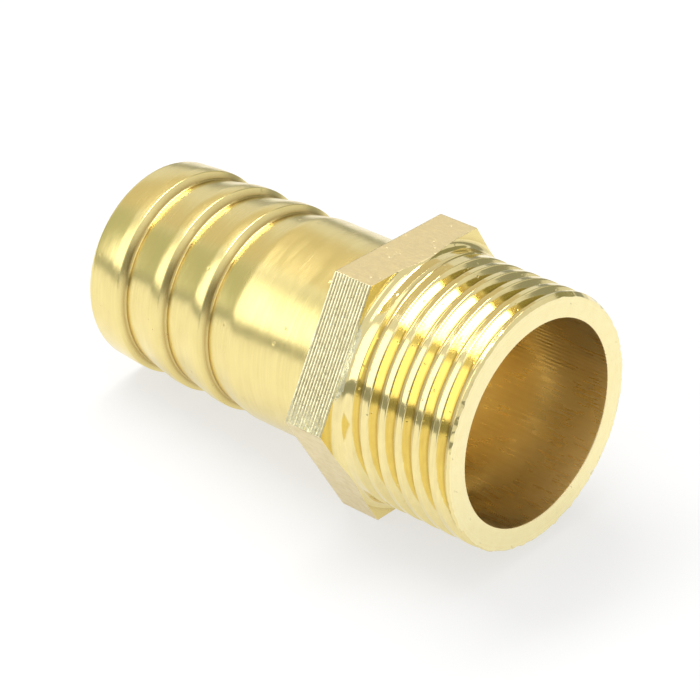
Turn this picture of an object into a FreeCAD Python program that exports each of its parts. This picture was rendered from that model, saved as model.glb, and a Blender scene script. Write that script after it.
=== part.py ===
# Hose tail turned from hexagon brass bar: a male pipe thread, a spanner hexagon and a barbed tail.
# It is one piece of metal, bored through from both ends. All lengths are in millimetres.
import FreeCAD, Part
import math
import os
import Sketcher

Vector = FreeCAD.Vector

# The body is drawn along its own +X, from the end face of the thread to the tip of the tail.
sizes = {
    "full_length": 32.2,
    # hexagon, left at the full width of the bar
    "hex_across": 16.6,
    "hex_front": 8.87,
    "hex_back": 11.8,
    # pipe thread, 19 turns to the inch, and its shoulder
    "thread_diameter": 16.5,
    "thread_pitch": 1.337,
    "thread_depth": 0.82,
    "flank_angle": 27.5,
    "root_width": 0.24,
    "cutter_rise": 0.15,
    "last_full_groove": 7.173,
    "groove_bearing": 340.0,
    "runout_turns": 0.5,
    "end_chamfer": 0.3,
    "shoulder_radius": 0.6,
    # tail, with barbs whose steps face the hexagon
    "shank_diameter": 13.85,
    "barb_diameter": 14.0,
    "waist_diameter": 13.0,
    "tip_diameter": 13.7,
    "tip_length": 2.85,
    "barb_spacing": 3.72,
    "barb_land": 0.72,
    "barb_lean": 0.12,
    "waist_width": 0.55,
    "waist_corner": 0.2,
    "shank_cone": 2.0,
    "tip_chamfer": 0.3,
    "neck_corner": 0.2,
    # bores: the wide one is drilled from the thread's end, the other one right through
    "wide_bore": 13.4,
    "wide_bore_depth": 10.0,
    "tail_bore": 11.0,
    "drill_half_angle": 59.0,
}
barbs = 3

doc = FreeCAD.newDocument("hose_tail")
sheet = doc.addObject("Spreadsheet::Sheet", "Sizes")
for row, (name, value) in enumerate(sizes.items(), start=1):
    cell = "A%d" % row
    sheet.set(cell, str(value))
    sheet.setAlias(cell, name)
doc.recompute()

body = doc.addObject("PartDesign::Body", "HoseTail")
body.Label = "hose_tail"
origin = {feature.Role: feature for feature in body.Origin.OriginFeatures}


def worth(expression):
    """The value of an expression of the sheet's sizes."""
    return float(body.evalExpression(expression))


def new_sketch(name, plane):
    sketch = body.newObject("Sketcher::SketchObject", name)
    sketch.AttachmentSupport = (origin[plane], "")
    sketch.MapMode = "FlatFace"
    return sketch


def constrain(sketch, kind, *parts, expression):
    index = sketch.addConstraint(Sketcher.Constraint(kind, *parts, worth(expression)))
    sketch.setExpression("Constraints[%d]" % index, expression)


def pin_point(sketch, edge, end, across, up):
    """Hold one end of an edge at its distances from the sketch's origin."""
    for kind, expression in (("DistanceX", across), ("DistanceY", up)):
        if worth(expression) < 0:
            constrain(sketch, kind, edge, end, -1, 1, expression="-(%s)" % expression)
        else:
            constrain(sketch, kind, -1, 1, edge, end, expression=expression)


def arc_between(start, end, radius, left):
    """The short arc from start to end, and whether it turns left on its way."""
    chord = end - start
    inward = Vector(-chord.y, chord.x, 0).normalize() * (1 if left else -1)
    centre = (start + end) / 2 + inward * math.sqrt(radius ** 2 - (chord.Length / 2) ** 2)
    circle = Part.Circle(centre, Vector(0, 0, 1), radius)
    first, last = (start, end) if left else (end, start)
    angles = [math.atan2(point.y - centre.y, point.x - centre.x) for point in (first, last)]
    return Part.ArcOfCircle(circle, *angles)


def draw_outline(sketch, corners, arcs={}):
    """Draw a closed outline. An edge named in arcs is an arc: its radius, and whether it turns left."""
    points = [Vector(worth(across), worth(up), 0) for across, up in corners]
    ends = []
    for k, start in enumerate(points):
        end = points[(k + 1) % len(points)]
        if k in arcs:
            radius, left = arcs[k]
            edge = sketch.addGeometry(arc_between(start, end, worth(radius), left))
            ends.append((edge, 1, 2) if left else (edge, 2, 1))
            constrain(sketch, "Radius", edge, expression=radius)
        else:
            edge = sketch.addGeometry(Part.LineSegment(start, end))
            ends.append((edge, 1, 2))
    for k, (across, up) in enumerate(corners):
        before, _, last = ends[k - 1]
        edge, first, _ = ends[k]
        sketch.addConstraint(Sketcher.Constraint("Coincident", before, last, edge, first))
        pin_point(sketch, edge, first, across, up)


def turn_away(name, corners, arcs={}):
    """Turn an outline off the bar, as a lathe does."""
    sketch = new_sketch(name + "Outline", "XZ_Plane")
    draw_outline(sketch, corners, arcs)
    groove = body.newObject("PartDesign::Groove", name)
    groove.Profile = sketch
    groove.ReferenceAxis = (sketch, ["H_Axis"])
    groove.Angle = 360
    doc.recompute()


# The bar, with a flat of the hexagon at its foot
bar_sketch = new_sketch("BarSection", "YZ_Plane")
corner = "Sizes.hex_across / sqrt(3) * %s(%d)"
draw_outline(bar_sketch, [(corner % ("cos", 60 * k), corner % ("sin", 60 * k)) for k in range(6)])
bar = body.newObject("PartDesign::Pad", "Bar")
bar.Profile = bar_sketch
bar.setExpression("Length", "Sizes.full_length")
doc.recompute()

# The blank of the thread, with a chamfer at its end and a rounded shoulder under the hexagon
outside = "Sizes.hex_across"
thread_radius = "Sizes.thread_diameter / 2"
turn_away("ThreadBlank", [
    ("0", thread_radius + " - Sizes.end_chamfer"),
    ("Sizes.end_chamfer", thread_radius),
    ("Sizes.hex_front - Sizes.shoulder_radius", thread_radius),
    ("Sizes.hex_front", thread_radius + " + Sizes.shoulder_radius"),
    ("Sizes.hex_front", outside),
    ("0", outside),
], arcs={2: ("Sizes.shoulder_radius", True)})

# The tail. Each barb rises in a long cone, has a narrow land and drops in a step that faces the hexagon.
shank_radius = "Sizes.shank_diameter / 2"
barb_radius = "Sizes.barb_diameter / 2"
waist_radius = "Sizes.waist_diameter / 2"
steps = ["Sizes.full_length - Sizes.tip_length - %d * Sizes.barb_spacing" % k for k in reversed(range(barbs))]
tail_corners = [
    ("Sizes.hex_back", outside),
    ("Sizes.hex_back", shank_radius + " + Sizes.neck_corner"),
    ("Sizes.hex_back + Sizes.neck_corner", shank_radius),
    (steps[0] + " - Sizes.waist_width - Sizes.shank_cone", shank_radius),
]
for step in steps:
    tail_corners += [
        (step + " - Sizes.waist_width", waist_radius),
        (step + " - Sizes.barb_lean - Sizes.waist_corner", waist_radius),
        (step + " - Sizes.barb_lean", waist_radius + " + Sizes.waist_corner"),
        (step, barb_radius),
        (step + " + Sizes.barb_land", barb_radius),
    ]
tail_corners += [
    ("Sizes.full_length - Sizes.tip_chamfer", "Sizes.tip_diameter / 2"),
    ("Sizes.full_length", "Sizes.tip_diameter / 2 - Sizes.tip_chamfer"),
    ("Sizes.full_length", outside),
]
turn_away("Tail", tail_corners)

# The bores. A drill leaves its point as a cone where the wide one ends.
point_length = "(Sizes.wide_bore - Sizes.tail_bore) / 2 / tan(Sizes.drill_half_angle)"
turn_away("Bores", [
    ("0", "0"),
    ("Sizes.full_length", "0"),
    ("Sizes.full_length", "Sizes.tail_bore / 2"),
    ("Sizes.wide_bore_depth + " + point_length, "Sizes.tail_bore / 2"),
    ("Sizes.wide_bore_depth", "Sizes.wide_bore / 2"),
    ("0", "Sizes.wide_bore / 2"),
])

# The thread's groove, drawn at the last full turn. It leaves a narrow land on each crest.
groove_floor = thread_radius + " - Sizes.thread_depth"
cutter_top = thread_radius + " + Sizes.cutter_rise"
cutter_half = "Sizes.root_width / 2 + (Sizes.thread_depth + Sizes.cutter_rise) * tan(Sizes.flank_angle)"
groove_sketch = new_sketch("GrooveSection", "XY_Plane")
groove_sketch.AttachmentOffset = FreeCAD.Placement(Vector(0, 0, 0), FreeCAD.Rotation(Vector(1, 0, 0), 1))
groove_sketch.setExpression(".AttachmentOffset.Rotation.Angle", "Sizes.groove_bearing")
draw_outline(groove_sketch, [
    ("Sizes.last_full_groove - (%s)" % cutter_half, cutter_top),
    ("Sizes.last_full_groove - Sizes.root_width / 2", groove_floor),
    ("Sizes.last_full_groove + Sizes.root_width / 2", groove_floor),
    ("Sizes.last_full_groove + " + cutter_half, cutter_top),
])
doc.recompute()

# The full turns run from there out past the end face
thread = body.newObject("PartDesign::SubtractiveHelix", "Thread")
thread.Profile = groove_sketch
thread.ReferenceAxis = (groove_sketch, ["H_Axis"])
thread.Mode = "pitch-height-angle"
thread.Reversed = True
thread.setExpression("Pitch", "Sizes.thread_pitch")
thread.setExpression("Height", "Sizes.last_full_groove + Sizes.thread_pitch")
doc.recompute()

# The run-out climbs out of the metal towards the shoulder
runout = body.newObject("PartDesign::SubtractiveHelix", "RunOut")
runout.Profile = groove_sketch
runout.ReferenceAxis = (groove_sketch, ["H_Axis"])
runout.Mode = "pitch-turns-angle"
runout.setExpression("Pitch", "Sizes.thread_pitch")
runout.setExpression("Turns", "Sizes.runout_turns")
climb = "(Sizes.thread_depth + Sizes.cutter_rise) / (Sizes.runout_turns * Sizes.thread_pitch)"
runout.setExpression("Angle", "atan(%s)" % climb)
doc.recompute()

# The thread's end faces +X
body.Tip = runout
body.Placement = FreeCAD.Placement(Vector(0, 0, 0), FreeCAD.Rotation(Vector(0, 0, 1), 180))
doc.recompute()

failed = [item.Name for item in doc.Objects if {"Invalid", "Error"} & set(item.State)]
if failed:
    raise RuntimeError("these failed: " + ", ".join(failed))
for piece in (body,):
    if piece.Shape.isNull() or not piece.Shape.isValid():
        raise RuntimeError(piece.Label + " has no valid shape")
    print(piece.Label, "solids", len(piece.Shape.Solids), "volume", round(piece.Shape.Volume, 2))

os.makedirs("parts", exist_ok=True)
for piece in (body,):
    piece.Shape.exportStep("parts/%s.step" % piece.Label)
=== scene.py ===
import math

import bmesh
import bpy
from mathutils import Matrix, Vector, noise


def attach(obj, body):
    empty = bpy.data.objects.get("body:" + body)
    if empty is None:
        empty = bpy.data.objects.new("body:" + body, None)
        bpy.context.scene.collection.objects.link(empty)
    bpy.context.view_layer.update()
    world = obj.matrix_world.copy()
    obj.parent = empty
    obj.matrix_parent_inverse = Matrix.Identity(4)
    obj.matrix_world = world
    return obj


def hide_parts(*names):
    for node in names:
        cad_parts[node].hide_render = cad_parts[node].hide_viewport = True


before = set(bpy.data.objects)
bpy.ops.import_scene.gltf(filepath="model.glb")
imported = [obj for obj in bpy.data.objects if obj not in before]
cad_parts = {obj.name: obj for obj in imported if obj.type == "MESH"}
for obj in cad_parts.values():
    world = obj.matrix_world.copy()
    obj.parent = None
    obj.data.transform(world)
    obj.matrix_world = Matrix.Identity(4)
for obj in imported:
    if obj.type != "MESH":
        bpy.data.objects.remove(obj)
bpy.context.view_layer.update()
print("frame loaded")

mm = 0.001
fine = 0.0001 * mm  # how near a cut may pass a point before it takes the point itself
weld = 0.002 * mm  # points nearer than this become one
turnSteps = 240  # a multiple of six, so the hexagon's corners fall on rows of points


def deselectAll():
    for each in bpy.context.selected_objects:
        each.select_set(False)


def activate(obj):
    deselectAll()
    obj.select_set(True)
    bpy.context.view_layer.objects.active = obj


def selectIn(obj, kind, wanted):
    # in edit mode, selects the verts, edges or faces that pass the test
    mesh = bmesh.from_edit_mesh(obj.data)
    bpy.ops.mesh.select_all(action="DESELECT")
    bpy.ops.mesh.select_mode(type={"verts": "VERT", "edges": "EDGE", "faces": "FACE"}[kind])
    found = 0
    for element in getattr(mesh, kind):
        if wanted(element):
            element.select_set(True)
            found += 1
    bmesh.update_edit_mesh(obj.data)
    return found


def weldAll():
    # in edit mode
    bpy.ops.mesh.select_all(action="SELECT")
    bpy.ops.mesh.remove_doubles(threshold=weld)


def cutAt(along, **clearing):
    # in edit mode, cuts everything square to the axis
    bpy.ops.mesh.select_all(action="SELECT")
    bpy.ops.mesh.bisect(plane_co=(along * mm, 0, 0), plane_no=(1, 0, 0), threshold=fine, **clearing)


def arcAt(before, corner, after, radius, steps):
    # the points of a round of this radius in place of a sharp corner
    a = (Vector(before) - Vector(corner)).normalized()
    b = (Vector(after) - Vector(corner)).normalized()
    half = a.angle(b) / 2
    turn = math.pi - 2 * half
    centre = Vector(corner) + (a + b).normalized() * radius / math.sin(half)
    start = Vector(corner) + a * radius / math.tan(half) - centre
    end = Vector(corner) + b * radius / math.tan(half) - centre
    points = []
    for k in range(steps + 1):
        share = k / steps
        spoke = start * math.sin((1 - share) * turn) + end * math.sin(share * turn)
        points.append(centre + spoke / math.sin(turn))
    return points


def rounded(corners):
    # each corner is (along, out), or (along, out, round, steps) where it is rounded
    points = []
    for k, corner in enumerate(corners):
        if len(corner) == 2:
            points.append(Vector(corner))
        else:
            points += arcAt(corners[k - 1][:2], corner[:2], corners[k + 1][:2], corner[2], corner[3])
    return points


def drawProfile(name, points):
    # one point, extruded along the outline
    deselectAll()
    bpy.ops.mesh.primitive_plane_add(size=mm, location=(0, 0, 0))
    obj = bpy.context.active_object
    obj.name = name
    bpy.ops.object.mode_set(mode="EDIT")
    bpy.ops.mesh.select_mode(type="VERT")
    bpy.ops.mesh.select_all(action="SELECT")
    bpy.ops.mesh.merge(type="CENTER")
    bpy.ops.transform.translate(value=(points[0].x * mm, points[0].y * mm, 0))
    for k in range(1, len(points)):
        step = points[k] - points[k - 1]
        bpy.ops.mesh.extrude_region_move(TRANSFORM_OT_translate={"value": (step.x * mm, step.y * mm, 0)})
    bpy.ops.object.mode_set(mode="OBJECT")
    return obj


# turned body: the ring at the thread's end, the bores, the tail and a disc for the hexagon
# in mm: places count from the thread's end face, and what lies round the axis is given by its radius

body = {
    "length": 32.2, "ringSeam": 7.2,
    "wideBore": 6.7, "wideDepth": 10.0, "tailBore": 5.5, "stepEnd": 10.72,
    "mouthRound": 0.06, "boreTipRound": 0.15,
    "tip": 6.85, "tipRound": 0.35,
    "barb": 7.0, "waist": 6.5, "shank": 6.925,
    "firstStep": 29.35, "spacing": 3.72, "barbs": 3,
    "land": 0.72, "lean": 0.35, "shankCone": 2.6,
    "stepRound": 0.1, "landRound": 3.0, "waistRound": 0.22,
    "hexBack": 11.8, "hexFront": 8.87, "disc": 10.3, "neckRound": 0.25,
    "blank": 8.25, "shoulderRound": 0.6, "seam": 8.12,
}

b = body
corners = [
    (0, b["ringSeam"]),
    (0, b["wideBore"], b["mouthRound"], 3),
    (-b["wideDepth"], b["wideBore"]),
    (-b["stepEnd"], b["tailBore"]),
    (-b["length"], b["tailBore"], b["boreTipRound"], 4),
    (-b["length"], b["tip"], b["tipRound"], 6),
]
for k in range(b["barbs"]):
    step = b["firstStep"] - k * b["spacing"]
    corners += [
        (-step - b["land"], b["barb"], b["landRound"], 6),
        (-step, b["barb"], b["stepRound"], 6),
        (-step + b["lean"], b["waist"], b["waistRound"], 8),
    ]
corners += [
    (-step + b["shankCone"], b["shank"], b["landRound"], 6),
    (-b["hexBack"], b["shank"], b["neckRound"], 5),
    (-b["hexBack"], b["disc"]),
    (-b["hexFront"], b["disc"]),
    (-b["hexFront"], b["blank"], b["shoulderRound"], 12),
    (-b["seam"], b["blank"]),
]
turned = drawProfile("hoseTailBrass", rounded(corners))
bpy.ops.object.mode_set(mode="EDIT")
bpy.ops.mesh.select_all(action="SELECT")
bpy.ops.mesh.spin(steps=turnSteps, angle=math.tau, center=(0, 0, 0), axis=(1, 0, 0))
weldAll()
bpy.ops.mesh.normals_make_consistent(inside=False)
bpy.ops.object.mode_set(mode="OBJECT")
print("turned body", len(turned.data.vertices), "points")


# hexagon: six flats cut off the disc, one of them milled in ridges that are crushed at one end
# in mm; bearings are in degrees from +Y towards +Z

hexagon = {
    "halfAcross": 8.3, "firstFlat": 30, "flatness": 0.003,
    "ridgedFlat": 150, "ridges": 13, "ridgeDepth": 0.07, "ridgeCuts": 40,
    "leastDepth": 0.8, "depthSpread": 0.3,  # of ridgeDepth
    "ridgeWear": 0.006, "unevenBy": (3.1, 1.3),  # the noise runs on by so much for each row, and for each mm
    "crushedFrom": 3.4, "crushedOver": 1.4, "crushedShare": 0.4, "crushedBy": (0.7, 2.5),
}


def flatNormal(bearing):
    return Vector((0, math.cos(math.radians(bearing)), math.sin(math.radians(bearing))))


activate(turned)
bpy.ops.object.mode_set(mode="EDIT")
for k in range(6):
    outward = flatNormal(hexagon["firstFlat"] + 60 * k)
    bpy.ops.mesh.select_all(action="SELECT")
    bpy.ops.mesh.bisect(plane_co=outward * hexagon["halfAcross"] * mm, plane_no=outward,
                        use_fill=True, clear_outer=True, threshold=fine)

# the ridges run round the bar: the flat is cut both ways, and every third row sinks in
outward = flatNormal(hexagon["ridgedFlat"])
sideways = outward.cross(Vector((1, 0, 0)))
width = b["hexBack"] - b["hexFront"]
rows = 3 * hexagon["ridges"]
rowAt = [-(b["hexFront"] + width * k / rows) for k in range(1, rows)]


def onRidgedFlat(place):
    return abs(place.dot(outward) - hexagon["halfAcross"] * mm) < hexagon["flatness"] * mm


def cutRidgedFlat(through, facing):
    def crossed(face):
        sides = [(v.co - through).dot(facing) for v in face.verts]
        return (face.normal.dot(outward) > 0.999 and onRidgedFlat(face.calc_center_median())
                and min(sides) < -fine and max(sides) > fine)

    if selectIn(turned, "faces", crossed):
        bpy.ops.mesh.bisect(plane_co=through, plane_no=facing, threshold=fine)


def ridgeSink(row, across):
    # how far a point of the ridged flat lies below it
    alongRow, acrossRow = hexagon["unevenBy"]
    uneven = 0.5 + 0.5 * noise.noise(Vector((row * alongRow, across * acrossRow, 0)))
    if row % 3 == 0:
        return hexagon["ridgeDepth"] * (hexagon["leastDepth"] + hexagon["depthSpread"] * uneven)
    crushed = max(0, (across - hexagon["crushedFrom"]) / hexagon["crushedOver"])
    alongRow, acrossRow = hexagon["crushedBy"]
    dent = hexagon["crushedShare"] + noise.noise(Vector((row * alongRow, across * acrossRow, 4)))
    return hexagon["ridgeWear"] * uneven + crushed * hexagon["ridgeDepth"] * dent


for along in rowAt:
    cutRidgedFlat(Vector((along * mm, 0, 0)), Vector((1, 0, 0)))
for k in range(1, hexagon["ridgeCuts"]):
    cutRidgedFlat(sideways * (k / hexagon["ridgeCuts"] - 0.5) * 2 * b["disc"] * mm, sideways)
count = selectIn(turned, "verts", lambda v: onRidgedFlat(v.co) and v.normal.dot(outward) > 0.5)
bpy.ops.object.mode_set(mode="OBJECT")
for point in turned.data.vertices:
    along = point.co.x / mm
    if point.select and -b["hexBack"] + 0.01 <= along <= -b["hexFront"] - 0.01:
        row = min(range(len(rowAt)), key=lambda k: abs(rowAt[k] - along))
        sink = ridgeSink(row, -point.co.dot(sideways) / mm)
        point.co -= outward * max(sink, 0) * mm
print("hexagon cut, ridge points", count)


# thread: one groove's section wound along the axis
# in mm, with bearings in degrees; a groove has a run-out at each end of its full turns

thread = {
    "radius": 8.25, "pitch": 1.337, "depth": 0.67, "flank": 27.5,
    "crest": 0.40, "crestRound": 0.07, "crestSteps": 4, "rootRound": 0.2, "rootSteps": 6,
    "flankShares": (0.88, 0.12), "crestShare": 0.8,  # more points keep the flank and the crest flat
    "grooveAtBearing0": -3.9185 + 4 * 1.337, "turns": 9,
    "lastFull": -7.173, "lastBearing": 200, "firstFull": -0.632, "firstBearing": 165,
    "runoutTurns": 0.5, "cutterRise": 0.15,
    "reach": 0.49, "leastWidth": 0.1,  # of the pitch, and of the full groove
    "chamfer": 0.15, "ragged": 0.09, "raggedBy": (1.7, 5),  # a broad noise and a small one
    "seam": 8.02, "seamWeld": 0.03,
}

t = thread
halfGroove = (t["pitch"] - t["crest"]) / 2
foot = halfGroove - t["depth"] * math.tan(math.radians(t["flank"]))
half = rounded([
    (-t["pitch"] / 2, 0),
    (-halfGroove, 0, t["crestRound"], t["crestSteps"]),
    (-foot, t["depth"], t["rootRound"], t["rootSteps"]),
    (foot, t["depth"]),
])[:-1]
half = [(min(aside, 0), depth) for aside, depth in half]  # one side of the groove, from the crest down


def addPoint(k, share):
    before, after = half[k], half[k + 1]
    half.insert(k + 1, tuple(start + (end - start) * share for start, end in zip(before, after)))


for share in t["flankShares"]:
    addPoint(t["crestSteps"] + 1, share)
addPoint(0, t["crestShare"])
section = []
for aside, depth in half + [(-aside, depth) for aside, depth in half[::-1]]:
    section.append(Vector((t["grooveAtBearing0"] - aside, t["radius"] - depth)))
wound = drawProfile("thread", section)
winding = wound.modifiers.new("winding", "SCREW")
winding.axis = "X"
winding.angle = -math.tau
winding.screw_offset = -t["pitch"] * mm
winding.iterations = t["turns"]
winding.steps = winding.render_steps = turnSteps
winding.use_merge_vertices = False
activate(wound)
bpy.ops.object.modifier_apply(modifier=winding.name)
bpy.ops.object.mode_set(mode="EDIT")
weldAll()


def grooveDepth(aside):
    # how deep the groove is at this distance from its middle
    for (far, shallow), (near, deep) in zip(half, half[1:]):
        if -far >= abs(aside) >= -near:
            return shallow + (deep - shallow) * (far + abs(aside)) / min(far - near, -1e-9)
    return t["depth"]


def windAt(along, bearing):
    # turns of the helix, counted from where its groove crosses bearing 0
    return round((along - t["grooveAtBearing0"]) / t["pitch"] - bearing / 360) + bearing / 360


lastWind = windAt(t["lastFull"], t["lastBearing"])
firstWind = windAt(t["firstFull"], t["firstBearing"])


def liftRunOut(place):
    # beyond its full turns the cutter rises out of the metal, so the groove grows shallow and narrow
    out = math.hypot(place.y, place.z) / mm
    bearing = math.degrees(math.atan2(place.z, place.y))
    wind = windAt(place.x / mm, bearing)
    past = max(lastWind - wind, wind - firstWind, 0)
    lift = min((t["depth"] + t["cutterRise"]) * past / t["runoutTurns"], t["depth"])
    aside = place.x / mm - t["grooveAtBearing0"] - wind * t["pitch"]
    newOut = out
    if lift > 0 and abs(aside) < t["reach"] * t["pitch"]:
        narrowed = 1 - lift * math.tan(math.radians(t["flank"])) / halfGroove
        width = max(narrowed, t["leastWidth"])
        newOut = t["radius"] - max(grooveDepth(aside * width) - lift, 0)
        place.x += aside * (width - 1) * mm

    # a rough chamfer at the end face
    broad, small = t["raggedBy"]
    uneven = noise.noise(Vector((0, place.y, place.z)) / mm * broad)
    uneven += noise.noise(Vector((9, place.y, place.z)) / mm * small)
    atEnd = t["radius"] - t["chamfer"] + uneven * t["ragged"] - place.x / mm
    newOut = min(newOut, t["radius"], atEnd)
    place.y *= newOut / out
    place.z *= newOut / out


cutAt(-t["chamfer"])
bpy.ops.object.mode_set(mode="OBJECT")
for point in wound.data.vertices:
    liftRunOut(point.co)
bpy.ops.object.mode_set(mode="EDIT")
cutAt(0, clear_outer=True)
cutAt(-t["seam"], clear_inner=True)
bpy.ops.object.mode_set(mode="OBJECT")
print("thread wound", len(wound.data.vertices), "points")


def atEndFace(point):
    return abs(point.co.x) < fine


def atSeam(point):
    return abs(point.co.x + t["seam"] * mm) < fine


# the ends of the thread get one point to each row of the body's, then they are joined to it
rowAngle = math.tau / turnSteps
for point in wound.data.vertices:
    if atEndFace(point) or atSeam(point):
        out = math.hypot(point.co.y, point.co.z)
        turn = round(math.atan2(point.co.z, point.co.y) / rowAngle) * rowAngle
        point.co = (point.co.x, out * math.cos(turn), out * math.sin(turn))
activate(wound)
bpy.ops.object.mode_set(mode="EDIT")
selectIn(wound, "verts", lambda v: atEndFace(v) or atSeam(v))
bpy.ops.mesh.remove_doubles(threshold=t["seamWeld"] * mm)
selectIn(wound, "edges", lambda edge: edge.is_boundary and all(atEndFace(v) for v in edge.verts))
bpy.ops.mesh.extrude_region_move(TRANSFORM_OT_translate={"value": (0, 0, 0)})
bpy.ops.object.mode_set(mode="OBJECT")
for point in wound.data.vertices:
    if point.select:
        inward = b["ringSeam"] * mm / math.hypot(point.co.y, point.co.z)
        point.co = (0, point.co.y * inward, point.co.z * inward)
bpy.ops.object.mode_set(mode="EDIT")
selectIn(wound, "edges", lambda edge: edge.is_boundary and all(atSeam(v) for v in edge.verts))
toBody = (t["seam"] - b["seam"]) * mm
bpy.ops.mesh.extrude_region_move(TRANSFORM_OT_translate={"value": (toBody, 0, 0)})
bpy.ops.object.mode_set(mode="OBJECT")
activate(turned)
wound.select_set(True)
bpy.ops.object.join()
bpy.ops.object.mode_set(mode="EDIT")
count = selectIn(turned, "verts", lambda v: v.is_boundary)
bpy.ops.mesh.remove_doubles(threshold=weld)
bpy.ops.mesh.select_all(action="SELECT")
bpy.ops.mesh.normals_make_consistent(inside=False)
bpy.ops.object.mode_set(mode="OBJECT")
bpy.ops.object.shade_smooth_by_angle(angle=math.radians(28))
print("thread joined at", count, "points")


# brass, by how each face was made; the bore and the end ring also carry painted light in their brighter
# colours
# heights and the rounding of edges are in mm, and every pattern is given by its cells to the mm
# rough runs from bright to dull metal; the painted shade in creases has its reach, and how open and how
# closed a point counts

metal = {
    "turned": {
        "edge": 0.05, "colour": (0.93, 0.79, 0.35), "dull": (0.85, 0.70, 0.29), "rough": (0.17, 0.29),
        "grain": (9, 0.12, 0.12), "grainHeight": 0.0006,
        "blotch": (0.9, 0.45, 0.45), "blotchHeight": 0.006,
        "pits": 1.1, "pitHeight": 0.01, "crease": (0.6, 0.97, 0.76),
    },
    "thread": {
        "edge": 0.03, "colour": (0.94, 0.81, 0.39), "dull": (0.85, 0.71, 0.33), "rough": (0.06, 0.15),
        "grain": (14, 0.7, 0.7), "grainHeight": 0.0005,
        "blotch": (2.4, 1.1, 1.1), "blotchHeight": 0.0015,
        "pits": 2.0, "pitHeight": 0.01, "crease": (0.45, 0.8, 0.5),
    },
    # the bore's colours are set paler and brighter than the turned brass: painted light inside the bore
    "bore": {
        "edge": 0.05, "colour": (0.98, 0.84, 0.50), "dull": (0.87, 0.70, 0.38), "rough": (0.22, 0.36),
        "grain": (0.4, 5, 5), "grainHeight": 0.0016,
        "blotch": (0.5, 0.9, 0.9), "blotchHeight": 0.005,
        "pits": 1.5, "pitHeight": 0.006, "crease": (0.45, 0.8, 0.5),
        "flutes": 150, "fluteHeight": 0.008, "fluteSide": (0, 0.8, 0.6), "fluteFade": (4.2, 6),
    },
    # the end ring's colours are set paler and brighter than the turned brass: painted light on the end face
    "endRing": {
        "edge": 0.06, "colour": (1.0, 0.90, 0.51), "dull": (0.97, 0.84, 0.44), "rough": (0.15, 0.26),
        "ringGrain": True, "grain": (7, 0, 0), "grainHeight": 0.004,
        "blotch": (1.3, 1.3, 1.3), "blotchHeight": 0.012,
        "pits": 2.4, "pitHeight": 0.02, "crease": (0.45, 0.8, 0.5),
    },
    "flat": {
        "edge": 0.08, "colour": (0.87, 0.75, 0.44), "dull": (0.74, 0.61, 0.33), "rough": (0.27, 0.4),
        "grain": (1.1, 8, 8), "grainHeight": 0.003,
        "blotch": (2.2, 1.7, 1.7), "blotchHeight": 0.007,
        "pits": 2.6, "pitHeight": 0.012, "crease": (0.45, 0.8, 0.5),
    },
    "ridged": {
        "edge": 0.02, "colour": (0.93, 0.88, 0.59), "dull": (0.80, 0.73, 0.43), "rough": (0.2, 0.34),
        "grain": (12, 1.2, 1.2), "grainHeight": 0.006,
        "blotch": (3.0, 2.2, 2.2), "blotchHeight": 0.02,
        "pits": 2.6, "pitHeight": 0.02, "crease": (0.45, 0.8, 0.5),
    },
}
wear = {
    "spread": (0.3, 0.7),  # the part of a noise that counts, from none to all
    "pitRim": 0.2, "pitFloor": 0.06, "pitted": 0.6, "pittedSpread": (0.52, 0.6),
    "rubbedShare": 0.8, "rubbedSpread": (0.99, 0.86),
    # painted shade: this colour is multiplied in where the surface is closed in
    "paintedShadeColour": (0.36, 0.24, 0.08),  # in the creases
}
mixA, mixB, mixResult = 6, 7, 2  # a Mix node's sockets for colours


def addNode(tree, kind, settings=(), inputs=()):
    made = tree.nodes.new("ShaderNode" + kind)
    for key, value in dict(settings).items():
        setattr(made, key, value)
    for key, value in dict(inputs).items():
        if isinstance(value, bpy.types.NodeSocket):
            tree.links.new(value, made.inputs[key])
        else:
            made.inputs[key].default_value = value
    return made


def calc(tree, operation, first, second=0.0):
    return addNode(tree, "Math", {"operation": operation}, {0: first, 1: second}).outputs[0]


def spreadOut(tree, value, fromRange, toRange=(0, 1), curve="LINEAR"):
    inputs = {"Value": value, "From Min": fromRange[0], "From Max": fromRange[1],
              "To Min": toRange[0], "To Max": toRange[1]}
    return addNode(tree, "MapRange", {"interpolation_type": curve}, inputs).outputs[0]


def mixColours(tree, blend, share, first, second):
    settings = {"data_type": "RGBA", "blend_type": blend}
    return addNode(tree, "Mix", settings, {"Factor": share, mixA: first, mixB: second}).outputs[mixResult]


def mottle(tree, place, cells, detail, fromRange):
    # a noise of so many cells to the mm each way
    scaled = addNode(tree, "Mapping", inputs={"Vector": place, "Scale": [v / mm for v in cells]})
    cloud = addNode(tree, "TexNoise", inputs={"Vector": scaled.outputs[0], "Scale": 1, "Detail": detail})
    return spreadOut(tree, cloud.outputs["Fac"], fromRange)


def fromAxis(tree, place):
    # the distance from the axis, for a face whose grain runs in rings
    apart = addNode(tree, "SeparateXYZ", inputs={"Vector": place})
    squares = [calc(tree, "MULTIPLY", apart.outputs[axis], apart.outputs[axis]) for axis in "YZ"]
    out = calc(tree, "SQRT", calc(tree, "ADD", squares[0], squares[1]))
    return addNode(tree, "CombineXYZ", inputs={"X": out}).outputs[0]


def pitMask(tree, place, perMm):
    # the middles of cells, only where a broad noise is high
    cells = addNode(tree, "Mapping", inputs={"Vector": place, "Scale": [perMm / mm] * 3})
    cell = addNode(tree, "TexVoronoi", inputs={"Vector": cells.outputs[0], "Scale": 1})
    near = spreadOut(tree, cell.outputs["Distance"], (wear["pitRim"], wear["pitFloor"]), curve="SMOOTHSTEP")
    where = mottle(tree, place, [wear["pitted"]] * 3, 1, wear["pittedSpread"])
    return calc(tree, "MULTIPLY", near, where)


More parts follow.
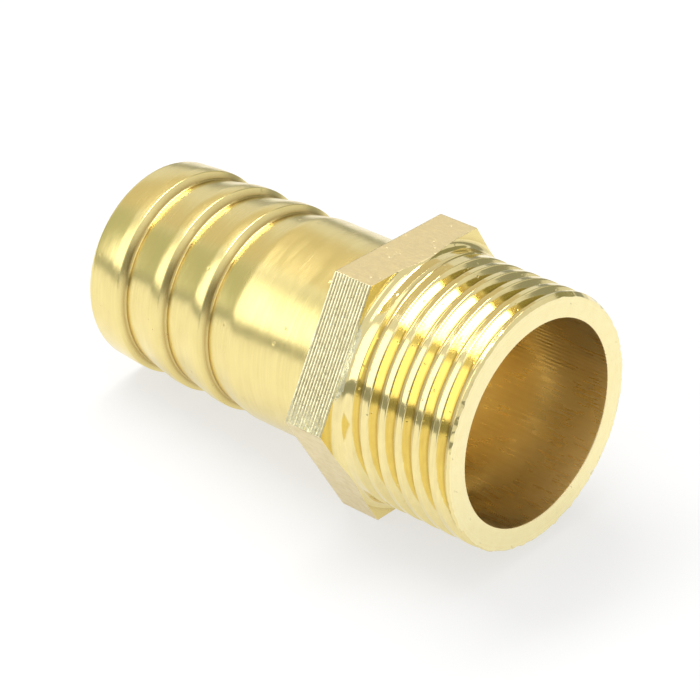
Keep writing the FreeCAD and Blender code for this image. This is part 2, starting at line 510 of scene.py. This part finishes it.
def fluteWave(tree, place, look):
    # ripples along the bore, left by a tool that shook, on one side only
    endOn = addNode(tree, "Mapping", inputs={"Vector": place, "Rotation": (0, math.radians(90), 0)})
    bearing = addNode(tree, "TexGradient", {"gradient_type": "RADIAL"}, {"Vector": endOn.outputs[0]})
    wave = calc(tree, "SINE", calc(tree, "MULTIPLY", bearing.outputs["Fac"], look["flutes"] * math.tau))
    across = addNode(tree, "VectorMath", {"operation": "DOT_PRODUCT"}, {0: place, 1: look["fluteSide"]})
    fade = [v * mm for v in look["fluteFade"]]
    side = spreadOut(tree, across.outputs["Value"], fade, curve="SMOOTHSTEP")
    return calc(tree, "MULTIPLY", wave, side)


def brass(name, look):
    made = bpy.data.materials.new(name)
    made.use_nodes = True
    tree = made.node_tree
    shader = tree.nodes["Principled BSDF"]
    shader.inputs["Metallic"].default_value = 1
    place = addNode(tree, "TexCoord").outputs["Object"]
    grainPlace = fromAxis(tree, place) if "ringGrain" in look else place
    grain = mottle(tree, grainPlace, look["grain"], 3, wear["spread"])
    blotch = mottle(tree, place, look["blotch"], 2, wear["spread"])
    pits = pitMask(tree, place, look["pits"])

    height = calc(tree, "MULTIPLY", grain, look["grainHeight"])
    height = calc(tree, "ADD", height, calc(tree, "MULTIPLY", blotch, look["blotchHeight"]))
    height = calc(tree, "SUBTRACT", height, calc(tree, "MULTIPLY", pits, look["pitHeight"]))
    if "flutes" in look:
        flutes = fluteWave(tree, place, look)
        height = calc(tree, "ADD", height, calc(tree, "MULTIPLY", flutes, look["fluteHeight"]))
    rounding = addNode(tree, "Bevel", {"samples": 6}, {"Radius": look["edge"] * mm}).outputs[0]
    bump = addNode(tree, "Bump", inputs={"Height": height, "Distance": mm, "Strength": 1, "Normal": rounding})
    tree.links.new(bump.outputs[0], shader.inputs["Normal"])

    # edges are rubbed bright: there the rounded normal differs from the face's own
    facing = addNode(tree, "NewGeometry").outputs["Normal"]
    same = addNode(tree, "VectorMath", {"operation": "DOT_PRODUCT"}, {0: facing, 1: rounding})
    rubbed = spreadOut(tree, same.outputs["Value"], wear["rubbedSpread"])
    dull = calc(tree, "MULTIPLY", calc(tree, "ADD", grain, blotch), 0.5)
    dull = calc(tree, "MAXIMUM", dull, pits)
    dull = calc(tree, "SUBTRACT", dull, calc(tree, "MULTIPLY", rubbed, wear["rubbedShare"]))
    colour = mixColours(tree, "MIX", dull, look["colour"] + (1,), look["dull"] + (1,))

    # painted shade: the colour darkens where ambient occlusion finds the surface closed in, as in creases and
    # thread roots
    reach, whereOpen, whereClosed = look["crease"]
    sky = addNode(tree, "AmbientOcclusion", {"samples": 8, "only_local": True}, {"Distance": reach * mm})
    depth = spreadOut(tree, sky.outputs["AO"], (whereOpen, whereClosed))
    colour = mixColours(tree, "MULTIPLY", depth, colour, wear["paintedShadeColour"] + (1,))
    tree.links.new(colour, shader.inputs["Base Color"])
    tree.links.new(spreadOut(tree, dull, (0, 1), look["rough"]), shader.inputs["Roughness"])
    return made


names = list(metal)
for name in names:
    turned.data.materials.append(brass(name, metal[name]))

# where each look lies, in mm; a face of a flat also faces the flat's way, to this cosine
zones = {
    "endFace": -0.005, "boreOut": 6.72, "boreEnd": -31.9, "boreFacing": 0.98, "cone": 6.4,
    "hexOut": 8.1, "hexMargin": 0.01, "shoulder": 0.4,
    "flatBelow": 0.05, "flatFacing": 0.95, "ridgedBelow": 0.16, "ridgedFacing": 0.5,
}


def kindOf(face):
    along = face.center.x / mm
    out = math.hypot(face.center.y, face.center.z) / mm
    if along > zones["endFace"]:
        return "endRing"
    if out < zones["boreOut"] and along > zones["boreEnd"] and face.normal.x < zones["boreFacing"]:
        inward = face.normal.y * face.center.y + face.normal.z * face.center.z
        if inward < 0 or out < zones["cone"]:
            return "bore"
    hexStart, hexEnd = -b["hexBack"] - zones["hexMargin"], -b["hexFront"] + zones["shoulder"]
    if hexStart < along < hexEnd and out > zones["hexOut"]:
        for k in range(6):
            bearing = hexagon["firstFlat"] + 60 * k
            kind = "ridged" if bearing == hexagon["ridgedFlat"] else "flat"
            below = hexagon["halfAcross"] - face.center.dot(flatNormal(bearing)) / mm
            facing = face.normal.dot(flatNormal(bearing))
            if below < zones[kind + "Below"] and facing > zones[kind + "Facing"]:
                return kind
    return "thread" if along > -b["hexFront"] + zones["hexMargin"] else "turned"


for face in turned.data.polygons:
    face.material_index = names.index(kindOf(face))
print("finished mesh", len(turned.data.vertices), "points")

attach(turned, "root")
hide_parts("hose_tail")


# floor: the part lies tipped on the hexagon's back edge and its first barb

floor = {
    "through": (-11.8, 0, -8.3), "slope": 4.07, "radius": 120,
    "colour": (0.27, 0.27, 0.27), "glow": 0.64,
}

deselectAll()
bpy.ops.mesh.primitive_circle_add(vertices=96, radius=floor["radius"] * mm, fill_type="NGON",
                                  location=[v * mm for v in floor["through"]],
                                  rotation=(0, math.radians(floor["slope"]), 0))
ground = bpy.context.active_object
ground.name = "floor"
bpy.ops.object.transform_apply(location=True, rotation=True, scale=True)
paper = bpy.data.materials.new("whitePaper")
paper.use_nodes = True
sheet = paper.node_tree.nodes["Principled BSDF"]
sheet.inputs["Base Color"].default_value = floor["colour"] + (1,)
sheet.inputs["Roughness"].default_value = 1
sheet.inputs["Specular IOR Level"].default_value = 0
sheet.inputs["Emission Color"].default_value = (1, 1, 1, 1)

# it glows to the camera and in reflections, and lights nothing
rays = addNode(paper.node_tree, "LightPath").outputs
seen = calc(paper.node_tree, "MAXIMUM", rays["Is Camera Ray"], rays["Is Glossy Ray"])
seen = calc(paper.node_tree, "MAXIMUM", seen, rays["Is Transmission Ray"])
glow = calc(paper.node_tree, "MULTIPLY", seen, floor["glow"])
paper.node_tree.links.new(glow, sheet.inputs["Emission Strength"])
ground.data.materials.append(paper)
print("floor laid")


# light: a white room, lights and dim panels round the part, and the dim edge of the room
# in mm; a card stands at a place and is turned, or stands away from the part and faces it

room = {"colour": (1, 1, 1), "strength": 0.8}
cards = {
    "stripLight": {"at": (-117, 23, 270), "turn": (0, 0, -11.5),
                   "wide": 75, "high": 262, "colour": (1, 1, 1), "strength": 12},
    "softBox": {"toward": (-0.594, -0.665, 0.45), "away": 300,
                "wide": 155, "high": 200, "colour": (1, 1, 0.98), "strength": 1.9},
    "ceilingPanel": {"toward": (-0.66, 0.28, 0.72), "away": 330,
                     "wide": 300, "high": 200, "colour": (0.66, 0.58, 0.43), "strength": 1.0},
    "sidePanel": {"toward": (0.9, 0.12, 0.42), "away": 330,
                  "wide": 120, "high": 85, "colour": (1, 1, 1), "strength": 1.7},
    "topPanel": {"at": (-5, -50, 300), "turn": (0, 0, 0),
                 "wide": 140, "high": 255, "colour": (1, 1, 1), "strength": 2.2},
    "darkFront": {"toward": (0.95, -0.3, 0.1), "away": 380,
                  "wide": 190, "high": 150, "colour": (0.12, 0.11, 0.08), "strength": 1.0},
    "dimTail": {"toward": (-0.9, -0.33, 0.36), "away": 310,
                "wide": 130, "high": 200, "colour": (0.5, 0.52, 0.4), "strength": 1.0},
    "backWall": {"toward": (-0.13, 0.85, 0.5), "away": 300,
                 "wide": 190, "high": 190, "colour": (0.3, 0.3, 0.2), "strength": 1.0},
}
roomEdge = {"radius": 420, "low": -16, "high": 64, "colour": (0.32, 0.33, 0.3), "strength": 1.0}

world = bpy.data.worlds.new("room")
bpy.context.scene.world = world
world.use_nodes = True
world.node_tree.nodes["Background"].inputs["Color"].default_value = room["colour"] + (1,)
world.node_tree.nodes["Background"].inputs["Strength"].default_value = room["strength"]


def glowing(name, look):
    made = bpy.data.materials.new(name)
    made.use_nodes = True
    shader = made.node_tree.nodes["Principled BSDF"]
    shader.inputs["Base Color"].default_value = (0, 0, 0, 1)
    shader.inputs["Specular IOR Level"].default_value = 0
    shader.inputs["Roughness"].default_value = 1
    shader.inputs["Emission Color"].default_value = look["colour"] + (1,)
    shader.inputs["Emission Strength"].default_value = look["strength"]
    return made


def standBy(card, look):
    card.data.materials.append(glowing(card.name, look))
    card.visible_camera = False


for name, look in cards.items():
    deselectAll()
    if "toward" in look:
        toward = Vector(look["toward"]).normalized()
        bpy.ops.mesh.primitive_plane_add(size=1, location=toward * look["away"] * mm,
                                         rotation=toward.to_track_quat("Z", "Y").to_euler())
    else:
        bpy.ops.mesh.primitive_plane_add(size=1, location=[v * mm for v in look["at"]],
                                         rotation=[math.radians(v) for v in look["turn"]])
    card = bpy.context.active_object
    card.name = name
    card.scale = (look["wide"] * mm, look["high"] * mm, 1)
    bpy.ops.object.transform_apply(location=True, rotation=True, scale=True)
    standBy(card, look)

deselectAll()
tall = roomEdge["high"] - roomEdge["low"]
middle = (roomEdge["high"] + roomEdge["low"]) / 2
bpy.ops.mesh.primitive_cylinder_add(vertices=96, radius=roomEdge["radius"] * mm, end_fill_type="NOTHING",
                                    depth=tall * mm, location=(0, 0, middle * mm))
edge = bpy.context.active_object
edge.name = "roomEdge"
bpy.ops.object.transform_apply(location=True, rotation=True, scale=True)
standBy(edge, roomEdge)
print("cards stood up", len(cards))


# camera: its place and its clipping in mm, its turn in degrees

camera = {
    "place": (89.2593, -109.5041, 87.8816), "turn": (59.67540, 1.59929, 42.75742),
    "sensor": 36, "lens": 142.84, "clip": (5, 5000),
}

deselectAll()
bpy.ops.object.camera_add(location=[v * mm for v in camera["place"]],
                          rotation=[math.radians(v) for v in camera["turn"]])
viewer = bpy.context.active_object
viewer.data.sensor_width = camera["sensor"]
viewer.data.lens = camera["lens"]
viewer.data.clip_start, viewer.data.clip_end = [v * mm for v in camera["clip"]]
bpy.context.scene.camera = viewer
bpy.context.scene.view_settings.view_transform = "Standard"
print("camera set")
